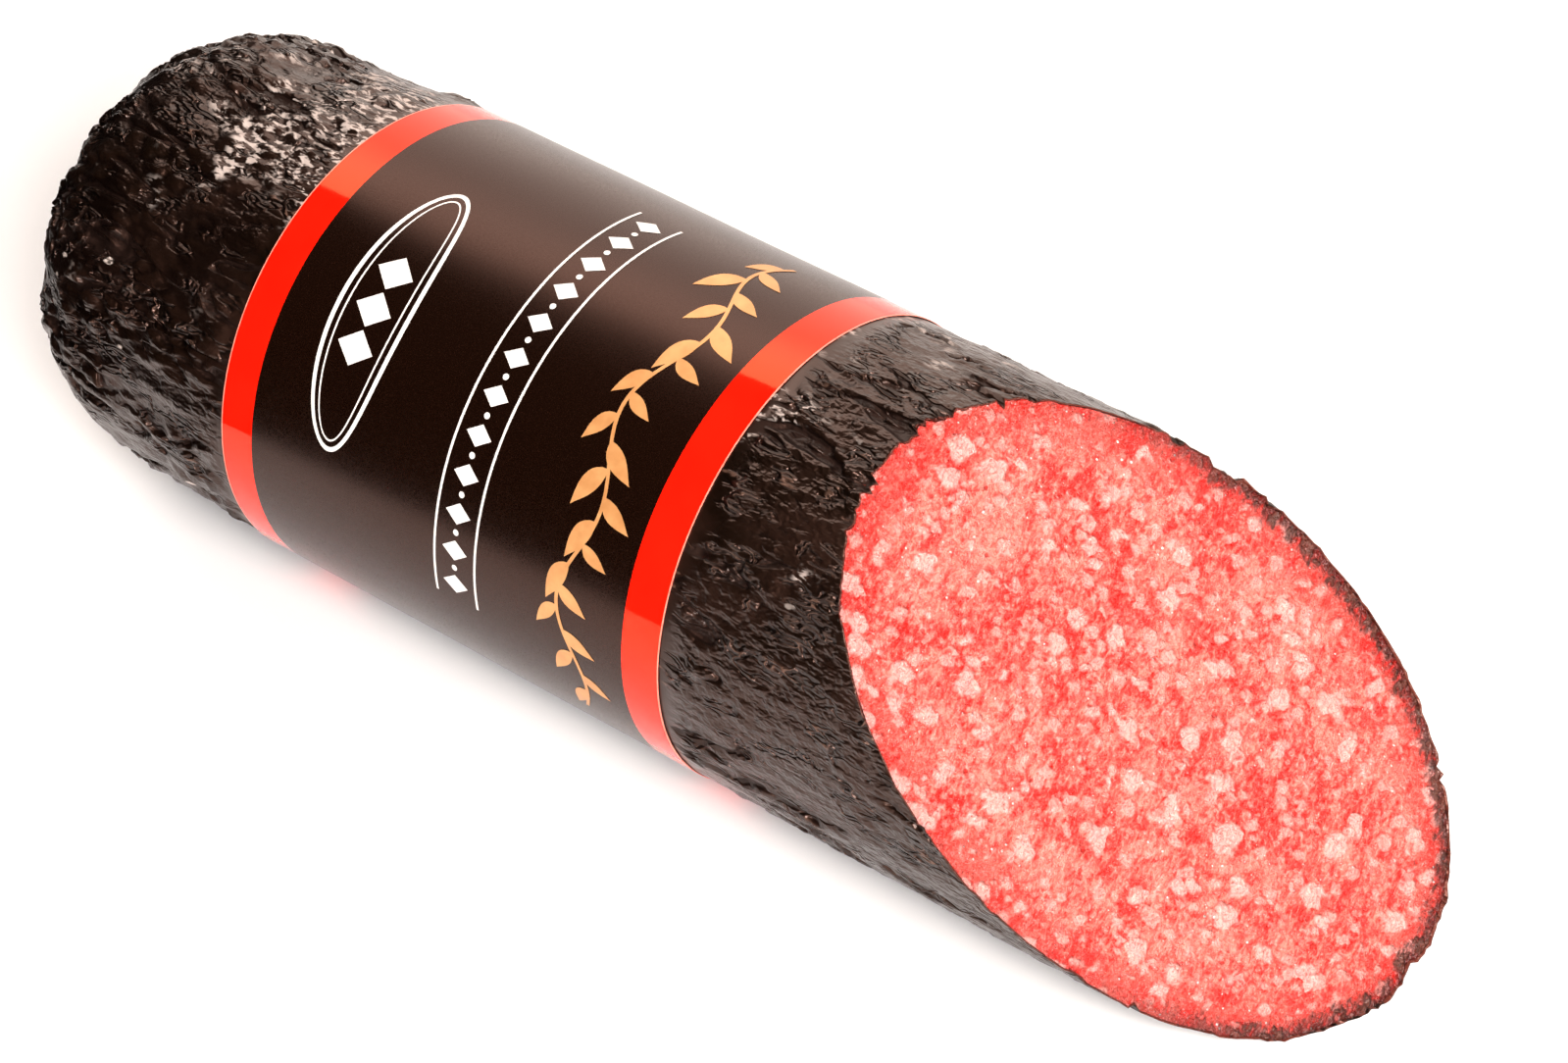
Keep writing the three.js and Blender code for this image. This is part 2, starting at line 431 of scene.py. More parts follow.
def new_geometry_tree(name, sizes):
    """A Geometry Nodes tree with a named float input for each size."""
    tree = bpy.data.node_groups.new(name, "GeometryNodeTree")
    tree.interface.new_socket("Geometry", in_out="INPUT", socket_type="NodeSocketGeometry")
    for size, value in sizes.items():
        socket = tree.interface.new_socket(size, in_out="INPUT", socket_type="NodeSocketFloat")
        socket.default_value = value
    tree.interface.new_socket("Geometry", in_out="OUTPUT", socket_type="NodeSocketGeometry")
    drawing["tree"] = tree
    return tree, add("NodeGroupInput")


def attribute_in(name, data_type="FLOAT"):
    return add("GeometryNodeInputNamedAttribute", {"Name": name}, data_type=data_type)[0]


wrinkles, given = new_geometry_tree("Dried skin wrinkles", {
    "Fold depth": 1.0 * MM, "Lip height": 0.4 * MM, "Puff height": 1.0 * MM, "Lump height": 2.6 * MM})
skin_place = attribute_in("skin_place", "FLOAT_VECTOR")
loose_here = attribute_in("loose")
domed_here = attribute_in("domed")

away, fold_open = fold_lines(skin_place, FOLD_ACROSS, FOLD_ALONG, FOLD_SEED, FOLD_SCARCITY)
slit = times(fading(away, 0.0, 0.055), fold_open)
lips = times(ramp(away, 0.02, 0.06), fading(away, 0.06, 0.13), fold_open)

NET_CELL = 5.2 * MM
net_place = warped(skin_place, (0.55 / NET_CELL, 1 / NET_CELL, 1 / NET_CELL), 0.9, 1.3, (8.5, 11.5, 15.5))
net_pillow = ramp(cell_edge(net_place), 0.0, 0.3)
patches = speckle(net_place, 1 / 0.35, 1.0)
net_patch = times(ramp(patches, 0.4, 0.6, 0.1, 1.0), ramp(domed_here, 0.0, 1.0, 0.3, 1.0))

lump_place = warped(skin_place, (1 / (13 * MM), 1 / (9 * MM), 1 / (9 * MM)), 0.8, 0.7, (1.0, 7.0, 3.0))
lumps = speckle(lump_place, 1.0, 2.5, 0.55)

TALLEST = 0.95 * MM
height = times(plus(lumps, -0.56), given["Lump height"], ramp(domed_here, 0.0, 1.0, 0.2, 1.0))
height = plus(height, times(net_pillow, net_patch, given["Puff height"]), times(lips, given["Lip height"]))
height = maths("SUBTRACT", height, times(slit, given["Fold depth"]))
height = times(maths("MINIMUM", height, TALLEST), loose_here)
offset = scaled(attribute_in("outward", "FLOAT_VECTOR"), height)
moved = add("GeometryNodeSetPosition", {"Geometry": given["Geometry"], "Offset": offset})[0]
stored = add("GeometryNodeStoreNamedAttribute",
             {"Geometry": moved, "Name": "puff", "Value": times(net_pillow, net_patch)},
             data_type="FLOAT", domain="POINT")[0]
add("NodeGroupOutput", {"Geometry": stored})


# %% Wrinkle the skin
def kept_plain(obj):
    """Keeps what an object's modifiers make of it, as a plain mesh."""
    graph = bpy.context.evaluated_depsgraph_get()
    mesh = bpy.data.meshes.new_from_object(obj.evaluated_get(graph), preserve_all_data_layers=True,
                                           depsgraph=graph)
    obj.modifiers.clear()
    old = obj.data
    obj.data = mesh
    bpy.data.meshes.remove(old)
    mesh.name = obj.name
    return mesh


def made_plain(obj, tree, values):
    """Runs a Geometry Nodes tree on an object, and keeps the result as a plain mesh."""
    modifier = obj.modifiers.new(tree.name, "NODES")
    modifier.node_group = tree
    for item in tree.interface.items_tree:
        if item.in_out == "INPUT" and item.name in values:
            modifier[item.identifier] = values[item.name]
    return kept_plain(obj)


def points_of(mesh):
    flat = np.zeros(len(mesh.vertices) * 3, np.float32)
    mesh.vertices.foreach_get("co", flat)
    return flat.reshape(-1, 3).astype(float)


skin_mesh = made_plain(skin, wrinkles, {"Fold depth": 1.0 * MM, "Lump height": 2.6 * MM})
skin_points = points_of(skin_mesh)
depths = np.linalg.norm(skin_points - np.vstack([rings.reshape(-1, 3), skin_points[-2:]]), axis=1)
print("wrinkles move the skin by up to", round(depths.max() / MM, 2), "mm")

LOWEST = 0.05 * MM  # a fold that would dip under the table is pressed flat on it
skin_points[:, 2] = np.maximum(skin_points[:, 2], LOWEST)
skin_mesh.vertices.foreach_set("co", skin_points.ravel().astype(np.float32))
skin_mesh.update()

# %% [markdown]
# ## The skin's finish
#
# The casing is dried collagen, stained brown-black by smoke and pepper, and greasy enough to
# shine. What gives it away is the broken shine: broad and soft on the puffs, and in sharp threads
# along the creases, where thin lines on the lips are painted lighter as highlights. The slits, pits
# and valleys between puffs are painted darker as shade, and the crest carries pale bloom mixed with
# painted highlights and glints. Folds smaller than the mesh can hold are bump, made of the same
# cell noise at a third of the size.

# %% Dried casing
def new_material(name):
    material = bpy.data.materials.new(name)
    material.use_nodes = True
    drawing["tree"] = material.node_tree
    material.node_tree.nodes.clear()
    return material


def mixed(share, first, second):
    """A colour between two colours."""
    colours = {"Factor": share, 6: linear(first), 7: linear(second)}
    return add("ShaderNodeMix", colours, data_type="RGBA")[2]


def object_place():
    return add("ShaderNodeTexCoord")["Object"]


def painted(layer, output="Fac"):
    """A value or vector that the mesh carries at its points."""
    return add("ShaderNodeAttribute", attribute_name=layer)[output]


def coats(colour, layers):
    """A colour with further colours laid over it in turn, each by its own share."""
    for share, paint in layers:
        colour = mixed(share, colour, paint)
    return colour


def bumped(height, distance, strength=1.0):
    values = {"Strength": strength, "Distance": distance, "Height": height}
    return add("ShaderNodeBump", values)[0]


def surfaced(colour, roughness, **others):
    """Ends a material in one surface shader."""
    values = {"Base Color": linear(colour), "Roughness": roughness, "IOR": 1.5}
    for name, value in others.items():
        values[name.replace("_", " ").title().replace("Ior", "IOR")] = value
    surface = add("ShaderNodeBsdfPrincipled", values)
    add("ShaderNodeOutputMaterial", {"Surface": surface[0]})


casing_material = new_material("dried_collagen_casing")
here = painted("skin_place", "Vector")
puff = painted("puff")
loose_here = painted("loose")
domed_here = painted("domed")

away, fold_open = fold_lines(here, FOLD_ACROSS, FOLD_ALONG, FOLD_SEED, FOLD_SCARCITY)
slit = times(fading(away, 0.02, 0.045), ramp(fold_open, 0.25, 0.6))
thin_away, thin_open = fold_lines(here, 2.6 * MM, 6.5 * MM, 9.0, 0.5)
thin_slit = times(ramp(thin_away, 0.03, 0.07), fading(thin_away, 0.07, 0.13), thin_open)
thin_lip = times(fading(thin_away, 0.0, 0.045), thin_open)
# Patches where the thin fold lips are painted lighter, as highlights on edges that catch the light.
lip_highlight_share = ramp(speckle(here, 3.0 * MM, 2.0), 0.4, 0.62)

FINE_CELL = 1.7 * MM
fine_place = warped(here, (0.45 / FINE_CELL, 1 / FINE_CELL, 1 / FINE_CELL), 0.8, 1.2, (3.0, 1.0, 2.0))
fine_patch = ramp(add(NOISE, {"Vector": fine_place, "Scale": 0.22})["Fac"], 0.48, 0.62)
fine_fold = times(ramp(cell_edge(fine_place), 0.0, 0.3), fine_patch)
grain = speckle(here, 0.8 * MM, 3.0)
pits = warped(here, (0.6 / (2.4 * MM), 1 / (2.4 * MM), 1 / (2.4 * MM)), 1.0, 0.7, (1.0, 6.0, 9.0))
pits = speckle(pits, 1.0, 2.0, 0.6)

pit_depth = times(pits, ramp(domed_here, 0.0, 1.0, 2.6, 1.5))
fine_height = plus(times(fine_fold, 0.35), plus(times(grain, 0.3), pit_depth))
fine_height = plus(fine_height, times(plus(thin_lip, times(thin_slit, -0.8)), 1.5))
fine_height = times(plus(fine_height, times(slit, -1.6)), loose_here)
bump = bumped(fine_height, 0.42 * MM)

stain = speckle(here, 14 * MM, 3.0)
# Painted shade in the cracks between the dome's puffs.
shaded_valley = times(fading(puff, 0.0, 0.3), ramp(domed_here, 0.5, 1.0, 0.0, 0.7))

across = parts_of(here)
# On the crest near the band, pale bloom is mixed with painted highlights, kept to the top where the light
# falls.
on_top = ramp(across["Z"], AXIS_HEIGHT + 0.7 * BAND_RADIUS, AXIS_HEIGHT + 0.97 * BAND_RADIUS)
before = ramp(across["X"], label_low.x - 34 * MM, label_low.x - 8 * MM)
beyond = ramp(across["X"], label_high.x + 8 * MM, label_high.x + 40 * MM, 0.75, 0.0)
by_band = times(on_top, plus(times(before, domed_here), times(beyond, 0.6)))
bloom_and_sheen_patches = speckle(here, 11 * MM, 2.0)
speck_place = warped(here, (1 / (2.6 * MM), 1 / (1.3 * MM), 1 / (1.3 * MM)), 1.2, 0.7, (6.0, 1.0, 4.0))
bloom_and_sheen_specks = speckle(speck_place, 1.0, 2.0, 0.6)
bloom_and_sheen_reach = plus(bloom_and_sheen_patches, times(by_band, 0.32))
bloom_and_sheen = times(ramp(bloom_and_sheen_reach, 0.64, 0.8), ramp(bloom_and_sheen_specks, 0.49, 0.62))
bloom_and_sheen = times(bloom_and_sheen, ramp(across["Z"], AXIS_HEIGHT, AXIS_HEIGHT + 0.8 * BAND_RADIUS), 0.75)
bloom_and_sheen = times(bloom_and_sheen, fading(plus(thin_slit, slit), 0.1, 0.6))

# Pale flecks on the skin, partly bloom and partly painted glints.
FLECK_CELL = 3.4 * MM
fleck_place = warped(here, (0.55 / FLECK_CELL, 1 / FLECK_CELL, 1 / FLECK_CELL), 2.0, 0.3, (5.0, 2.0, 7.0))
nearest_fleck = nearest_cell(fleck_place)
fleck_chance = parts_of(nearest_fleck["Color"])["X"]
fleck_size = ramp(fleck_chance, 0.72, 1.0, -0.05, 0.26)
bloom_and_glint_fleck = discs(fleck_size, nearest_fleck["Distance"], 0.08)
bloom_and_glint_fleck = times(bloom_and_glint_fleck, ramp(bloom_and_sheen_patches, 0.42, 0.55), ramp(domed_here, 0.0, 1.0, 0.25, 1.0))

skin_colour = coats(mixed(ramp(stain, 0.35, 0.7), "0d0603", "1b0f0a"), (
    # Thin lip lines painted lighter: a painted highlight.
    (times(ramp(thin_lip, 0.5, 1.0, 0.0, 0.7), lip_highlight_share), "6a5044"),
    # Painted shade in the thin slits.
    (ramp(thin_slit, 0.2, 0.8), "050302"),
    # Painted shade in the pits.
    (ramp(pits, 0.28, 0.42, 0.8, 0.0), "050302"),
    # Painted shade in the slits and in the valleys between puffs.
    (maths("MAXIMUM", slit, shaded_valley), "030101"),
    # Pale bloom mixed with painted highlights on the crest.
    (bloom_and_sheen, "dccdc5"),
    # Pale flecks, partly bloom and partly painted glints.
    (bloom_and_glint_fleck, "d9cbc2"),
    (ramp(painted("cut_edge"), 0.5, 0.9), "5a2219"),
))
roughness = plus(ramp(stain, 0.3, 0.7, 0.27, 0.4), times(plus(bloom_and_sheen, slit), 0.3))
surfaced(
    skin_colour, roughness, normal=bump, specular_tint=(1.0, 0.55, 0.42, 1.0),
    coat_weight=0.22, coat_roughness=0.1, coat_normal=bump)
skin_mesh.materials.append(casing_material)

# %% [markdown]
# ## The meat
#
# Only the cut face shows, and it has to meet the skin exactly, folds and all. So its outline is
# read from the wrinkled skin's own inner edge, and rings of points shrink from there to the
# middle of the cut. Behind the face the meat is a plain plug inside the skin.

# %% The meat's mesh
CLEARANCE = 0.09 * MM
FACE_RINGS = 120

skin_rings = skin_points[:-2].reshape(len(rings), COLUMNS, 3)
edge = skin_rings[inner_from].copy()
edge[:, 0] -= ragged / cut_normal[0]
middle = np.array([APEX_X + CUT_ALONG, 0, AXIS_HEIGHT])
edge = edge + (middle - edge) * (CLEARANCE / SIDE_RADIUS)

meat_rings = []
MEAT_DEPTH = 4.2 * MM
DOME_DEPTH = 9.0 * MM  # the hidden end keeps clear of the coarse inner wall
for share in (0.12, 0.4, 0.75, 0.97, 1.0):
    along = DOME_LENGTH * (1 - math.cos(share * math.pi / 2) ** (2 / DOME_ALONG))
    meat_rings.append(ring_points(along + DOME_DEPTH, side_radius(along) - DOME_DEPTH))
meat_rings.append(ring_points(LABEL_START, SIDE_RADIUS - MEAT_DEPTH))
meat_rings.append(ring_points(LABEL_END, SIDE_RADIUS - MEAT_DEPTH))
meat_rings.append(ring_points(rim_along + MEAT_DEPTH * cut_lean - 12 * MM, SIDE_RADIUS - MEAT_DEPTH))
for behind, inset in ((6.0 * MM, 0.09), (2.0 * MM, 0.06), (0.3 * MM, 0.010)):
    meat_rings.append(edge - np.array([behind, 0, 0]) + (middle - edge) * inset)
for share in np.concatenate([[0, 0.003], np.linspace(0.008, 0.985, FACE_RINGS)]):
    meat_rings.append(edge + (middle - edge) * share)
meat_rings = np.array(meat_rings)
face_from = len(meat_rings) - FACE_RINGS - 2
on_face = np.zeros(meat_rings.shape[:2])
on_face[face_from:] = 1
to_rim = np.full(meat_rings.shape[:2], 0.0)
to_rim[face_from:] = np.linalg.norm(meat_rings[face_from:] - edge, axis=2)
meat_mesh = ring_mesh("meat_filling", meat_rings, {"on_face": on_face, "to_rim": to_rim,
                                                   "face_place": meat_rings})
meat = placed("meat_filling", meat_mesh)
print("meat triangles:", sum(len(face.vertices) - 2 for face in meat_mesh.polygons))

# %% [markdown]
# ## Fat and lean
#
# The mince is grains of fat of several sizes, pressed into fibrous lean. A knife through round
# grains shows discs of every size, so each kind is a scatter of balls in space, one to a cell of
# cell noise. The same function serves the relief, in Geometry Nodes, and the colour, in the
# material, so that the grains stand where they are painted.

# %% Grain pattern, for either kind of tree
FAT_GRAINS = (
    {"cell": 5.4 * MM, "rarity": -0.1, "reach": 0.5, "edge": 0.13},
    {"cell": 3.1 * MM, "rarity": -0.2, "reach": 0.56, "edge": 0.2},
    {"cell": 1.5 * MM, "rarity": 0.0, "reach": 0.56, "edge": 0.25},
)


def fat_grains(here):
    """How much fat there is at a place, 0 to 1, one output for each grain size."""
    layers = []
    for index, kind in enumerate(FAT_GRAINS):
        scale = 1 / kind["cell"]
        shift = (index * 4.3, index * 2.9, 1.0)
        bent = warped(here, (scale * 0.85, scale, scale * 1.1), 1.6, 0.75, shift)
        nearest = nearest_cell(bent)
        chance = dot(nearest["Color"], (1.0, 0.0, 0.0))
        radius = ramp(chance, kind["rarity"], 1.0, 0.0, kind["reach"])
        layers.append(discs(radius, nearest["Distance"], kind["edge"]))
    return layers


# %% Relief of the cut face
relief, given = new_geometry_tree("Knife-cut relief", {"Grain height": 0.18 * MM, "Wave height": 0.5 * MM})
face_place = attribute_in("face_place", "FLOAT_VECTOR")
grain_layers = fat_grains(face_place)
grains = plus(grain_layers[0], times(grain_layers[1], 0.6))
waves = times(plus(speckle(face_place, 16 * MM, 2.0), -0.5), given["Wave height"])
rim_distance = attribute_in("to_rim")
inside = ramp(rim_distance, 0.0, 2.5 * MM)
lift = times(plus(times(grains, given["Grain height"]), waves), inside)
lift = plus(lift, ramp(rim_distance, 0.0, 1.4 * MM, -0.05 * MM, 0.0))
lift = times(lift, attribute_in("on_face"))
offset = scaled(tuple(cut_normal), lift)
moved = add("GeometryNodeSetPosition", {"Geometry": given["Geometry"], "Offset": offset})[0]
add("NodeGroupOutput", {"Geometry": moved})
meat_mesh = made_plain(meat, relief, {"Grain height": 0.18 * MM})

# %% [markdown]
# ## The cut face's finish
#
# Lean meat is translucent and moist, so light spreads under it. Between the paler grains of fat
# it is mottled down to the finest fibres with smeared fat, and it is reddest near the rim, where
# a ragged dark edge has dried on. Thin crevices are painted darker as shade. A broken film of
# moisture glints all over, in the coat's shine and in near-white painted glints.

# %% Cut cured meat
meat_material = new_material("cut_cured_meat")
here = painted("face_place", "Vector")
large, medium, small = fat_grains(here)
clouds = speckle(here, 13 * MM, 2.0, 0.6)


def along_fibres(place, length, width):
    """A place measured along the fibres and across them, in units of one fibre's size."""
    sizes = ((fibre_way, length), (fibre_side, width), (cut_normal, width))
    return vector(*[dot(place, way / size) for way, size in sizes])


fibre_way = np.array([-0.175, 0.855, 0.49])  # the way the filling was pushed in
fibre_way -= cut_normal * (fibre_way @ cut_normal)
fibre_way /= np.linalg.norm(fibre_way)
fibre_side = np.cross(cut_normal, fibre_way)

fibre_place = warped(along_fibres(here, 3.8 * MM, 2.7 * MM), (1.0, 1.0, 1.0), 0.8, 1.0, (0.0, 5.0, 0.0))
fibres = speckle(fibre_place, 1.0, 2.0, 0.7)
shred_place = warped(along_fibres(here, 1.35 * MM, 0.8 * MM), (1.0, 1.0, 1.0), 0.6, 1.0, (3.0, 5.0, 8.0))
shreds = speckle(shred_place, 1.0, 1.5, 0.6)
threads = speckle(shred_place, 1 / 2.4, 1.0, 0.6)
to_rim = painted("to_rim")
cloud_shift = plus(clouds, -0.5)
rim_near = fading(plus(to_rim, times(cloud_shift, -22 * MM)), 0.5 * MM, 11 * MM)

shred_shift = plus(shreds, -0.5)
smear = plus(fibres, times(cloud_shift, 0.8), times(shred_shift, 0.75), times(plus(threads, -0.5), 0.5))
smear = ramp(smear, 0.22, 0.78)
# Thin crevices between the fibres, painted darker as shade.
shaded_crevice = maths("ABSOLUTE", plus(shreds, -0.47))
shaded_crevice = times(fading(shaded_crevice, 0.008, 0.03), ramp(threads, 0.48, 0.6))

spot_place = warped(here, (1 / (5.5 * MM),) * 3, 1.5, 0.4, (9.0, 4.0, 2.0))
nearest_spot = nearest_cell(spot_place)["Distance"]
spot = times(fading(nearest_spot, 0.05, 0.11), fading(large, 0.0, 0.3))

# Painted glints: near-white specks that stand in for the moisture's highlights.
painted_glint_place = warped(here, (1 / (1.25 * MM),) * 3, 2.0, 0.3, (2.0, 8.0, 5.0))
nearest_painted_glint = nearest_cell(painted_glint_place)
painted_glint_chance = parts_of(nearest_painted_glint["Color"])["Y"]
painted_glint_size = times(ramp(painted_glint_chance, 0.55, 1.0, 0.0, 0.24), ramp(clouds, 0.35, 0.65, 0.6, 1.1))
painted_glint = discs(painted_glint_size, nearest_painted_glint["Distance"], 0.09)

from_middle = vectors("SUBTRACT", here, tuple(middle))
exposed = ramp(dot(from_middle, (0.78, 0.63, 0.0)), -24 * MM, 22 * MM, 0.12, 1.0)
dried_reach = plus(to_rim, times(shred_shift, -5.0 * MM), times(plus(fibres, -0.5), -6.0 * MM))
dried = times(fading(dried_reach, 0.6 * MM, 4.4 * MM), exposed)
outermost = fading(dried_reach, 0.8 * MM, 2.2 * MM)
crust = times(ramp(fibres, 0.5, 0.58), outermost, ramp(exposed, 0.7, 1.0))

wet = speckle(here, 0.7 * MM, 2.0, 0.6)
fat_height = plus(times(plus(large, times(crust, 3.0)), 0.35), times(medium, 0.4))
face_height = plus(fat_height, plus(times(wet, 0.8), times(shreds, 1.4)))
face_height = plus(face_height, times(plus(spot, shaded_crevice), -0.6), times(painted_glint, 0.8))
bump = bumped(face_height, 0.8 * MM)

meat_colour = coats(mixed(smear, "d41a12", "e67f71"), (
    (times(small, 0.5), "e9958a"),
    (times(rim_near, 0.6), "d4221a"),
    (times(medium, 0.66), "e89f96"),
    (times(large, 0.68), "ecb0a8"),
    # Painted shade in the crevices.
    (times(shaded_crevice, 0.5), "b81810"),
    (times(spot, 0.8), "cf120b"),
    # Near-white painted glints.
    (times(painted_glint, 0.85), "fbeeea"),
    (times(dried, 0.9), "3d0e08"),
    (times(crust, 0.4), "6b4536"),
))
roughness = ramp(wet, 0.3, 0.7, 0.24, 0.42)
surfaced(
    meat_colour, roughness, ior=1.42, normal=bump, coat_weight=0.3, coat_roughness=0.1,
    coat_normal=bump, subsurface_weight=0.15, subsurface_radius=(1.2, 0.5, 0.3),
    subsurface_scale=1 * MM)
meat_mesh.materials.append(meat_material)

# %% [markdown]
# ## The printed band
#
# The band is a strip of thin film, wound round once and glued where its ends overlap, low on
# the back. It is laid out as rows and columns, and a Solidify modifier gives its thickness. The
# red stripes are rows of faces with their own ink, so their edges are as sharp as print.

# %% The band's mesh
FILM_THICK = 0.12 * MM
# The band's cut edge is painted pale, partly the film's own colour and partly a painted highlight where the
# edge catches the light.
FILM_EDGE = 0.22 * MM  # the cut edge, where the ink stops and the pale film shows
LEFT_STRIPE = 7.5 * MM
RIGHT_STRIPE = 8.2 * MM
LAP_START = math.radians(316)
LAP_TURN = math.radians(14)
BAND_COLUMNS = 300


def on_band(along, angle, lift=0.0):
    """A point on the wound film, which isn't quite even, because the skin under it isn't."""
    wave = noise.noise(Vector((along / 0.024, math.cos(angle) * 2.2, math.sin(angle) * 2.2)))
    radius = BAND_RADIUS - 0.6 * FILM_THICK + 0.09 * MM * wave + lift
    height = max(AXIS_HEIGHT + radius * math.sin(angle), lift + 1.3 * FILM_THICK)
    return (APEX_X + along, radius * math.cos(angle), height)


def split(start, end, steps):
    return list(np.linspace(start, end, steps, endpoint=False))


PALE_EDGE, RED_INK, BLACK_INK = 2, 1, 0
strips = (
    (LABEL_START, LABEL_START + FILM_EDGE, 1, PALE_EDGE),
    (LABEL_START + FILM_EDGE, LABEL_START + LEFT_STRIPE, 4, RED_INK),
    (LABEL_START + LEFT_STRIPE, LABEL_END - RIGHT_STRIPE, 36, BLACK_INK),
    (LABEL_END - RIGHT_STRIPE, LABEL_END - FILM_EDGE, 4, RED_INK),
    (LABEL_END - FILM_EDGE, LABEL_END, 1, PALE_EDGE),
)
row_along = []
row_inks = []
for start, end, steps, ink in strips:
    row_along += split(start, end, steps)
    row_inks += [ink] * steps
row_along.append(LABEL_END)

band_points = []
for along in row_along:
    for share in np.linspace(0, 1, BAND_COLUMNS):
        angle = LAP_START + share * (2 * math.pi + LAP_TURN)
        over = smooth(share, 1 - 1.6 * LAP_TURN / (2 * math.pi), 1 - LAP_TURN / (2 * math.pi))
        band_points.append(on_band(along, angle, 1.3 * FILM_THICK * over))
band_faces = []
face_inks = []
for row, ink in enumerate(row_inks):
    for column in range(BAND_COLUMNS - 1):
        corner = row * BAND_COLUMNS + column
        band_faces.append((corner, corner + 1, corner + BAND_COLUMNS + 1, corner + BAND_COLUMNS))
        face_inks.append(ink)
band_mesh = bpy.data.meshes.new("label_band")
band_mesh.from_pydata(band_points, [], band_faces)
band_mesh.polygons.foreach_set("material_index", face_inks)
band_mesh.shade_smooth()
band = placed("label_band", band_mesh)


def thickened(obj, thickness):
    """Gives a sheet its thickness inwards, with crisp cut edges."""
    solidify = obj.modifiers.new("thickness", "SOLIDIFY")
    solidify.thickness = thickness
    solidify.offset = -1.0
    kept_plain(obj).set_sharp_from_angle(angle=math.radians(40))


print("band:", len(row_along), "rows of", BAND_COLUMNS)

# %% Printed film
black_ink = new_material("black_ink_on_film")
mottle = speckle(object_place(), 0.25 * MM, 3.0)
ink_colour = mixed(mottle, "0f0502", "150804")
bump = bumped(mottle, 0.01 * MM, 0.25)
surfaced(
    ink_colour, ramp(mottle, 0.3, 0.7, 0.24, 0.3), normal=bump,
    specular_tint=(1.0, 0.5, 0.38, 1.0))

red_ink = new_material("red_ink_on_film")
drift = speckle(object_place(), 9 * MM, 2.0)
ink_colour = mixed(drift, "fb1d0a", "f61305")
bump = bumped(drift, 0.05 * MM, 0.4)
surfaced(ink_colour, 0.06, normal=bump, specular_tint=(1.0, 0.74, 0.25, 1.0))

# Pale cut edge of the film, partly its own colour and partly a painted highlight.
film_edge_highlight = new_material("film_edge_with_painted_highlight")
haze = speckle(object_place(), 1.5 * MM, 2.0)
surfaced(mixed(haze, "ff6a52", "ffb09c"), 0.35)
for ink in (black_ink, red_ink, film_edge_highlight):
    band_mesh.materials.append(ink)
thickened(band, FILM_THICK)

# %% [markdown]
# ## What is printed on the band
#
# The band carries a white cartouche round three diamonds, a white border, and a sprig of leaves
# in copper foil. Geometry Nodes draws each one flat, with X round the band and Y along the
# sausage. Then the film's own function winds the points on, and Solidify gives the ink and foil
# a hair of thickness.

# %% The flat patterns
def grid(length, width, columns, rows=2):
    values = {"Size X": length, "Size Y": width, "Vertices X": columns, "Vertices Y": rows}
    return add("GeometryNodeMeshGrid", values)["Mesh"]


def wave_of(value, length):
    """The sine of a length along the band, one turn for each wave length."""
    per_wave = maths("DIVIDE", 2 * math.pi, length)
    return maths("SINE", times(value, per_wave))


def place_xyz():
    return parts_of(add("GeometryNodeInputPosition")[0])


def finished_print(parts, material):
    """Joins the parts of a flat pattern, makes instances real and sets the ink."""
    tree = drawing["tree"]
    joined = tree.nodes.new("GeometryNodeJoinGeometry")
    for part in parts:
        tree.links.new(part, joined.inputs[0])
    real = add("GeometryNodeRealizeInstances", {"Geometry": joined.outputs[0]})[0]
    inked = add("GeometryNodeSetMaterial", {"Geometry": real, "Material": material})[0]
    add("NodeGroupOutput", {"Geometry": inked})


copper_foil = new_material("stamped_copper_foil")
tarnish = speckle(object_place(), 3 * MM, 4.0)
surfaced(mixed(tarnish, "c07c42", "ecb276"), ramp(tarnish, 0.3, 0.7, 0.34, 0.44), metallic=0.25)

white_ink = new_material("white_screen_ink")
cover = speckle(object_place(), 0.4 * MM, 2.0)
surfaced(mixed(cover, "ece7e2", "f8f5f2"), 0.3)

# %% Sprig of leaves
sprig, given = new_geometry_tree("Leafy sprig", {
    "Length": 110 * MM, "Stem width": 0.75 * MM, "Swing": 2.6 * MM, "Wave": 37 * MM,
    "Leaf length": 8.6 * MM, "Leaf width": 3.4 * MM, "Leaf spacing": 4.6 * MM})


def swung(geometry, size):
    """Pushes a flat pattern to and fro in a long wave."""
    push = times(wave_of(place_xyz()["X"], given["Wave"]), size)
    offset = vector(y=push)
    return add("GeometryNodeSetPosition", {"Geometry": geometry, "Offset": offset})[0]


stem = grid(given["Length"], given["Stem width"], 140)
stem = swung(stem, given["Swing"])

flat_leaf = grid(1.0, 1.0, 11, 3)
flat = place_xyz()
share = plus(flat["X"], 0.5)
belly = maths("SINE", times(maths("POWER", share, 0.8), math.pi))
belly = maths("MAXIMUM", belly, 0.02)
curl = times(share, share, given["Leaf width"], 0.55)
leaf_across = plus(times(flat["Y"], belly, given["Leaf width"]), curl)
leaf_place = vector(x=times(share, given["Leaf length"]), y=leaf_across)
leaf = add("GeometryNodeSetPosition", {"Geometry": flat_leaf, "Position": leaf_place})[0]

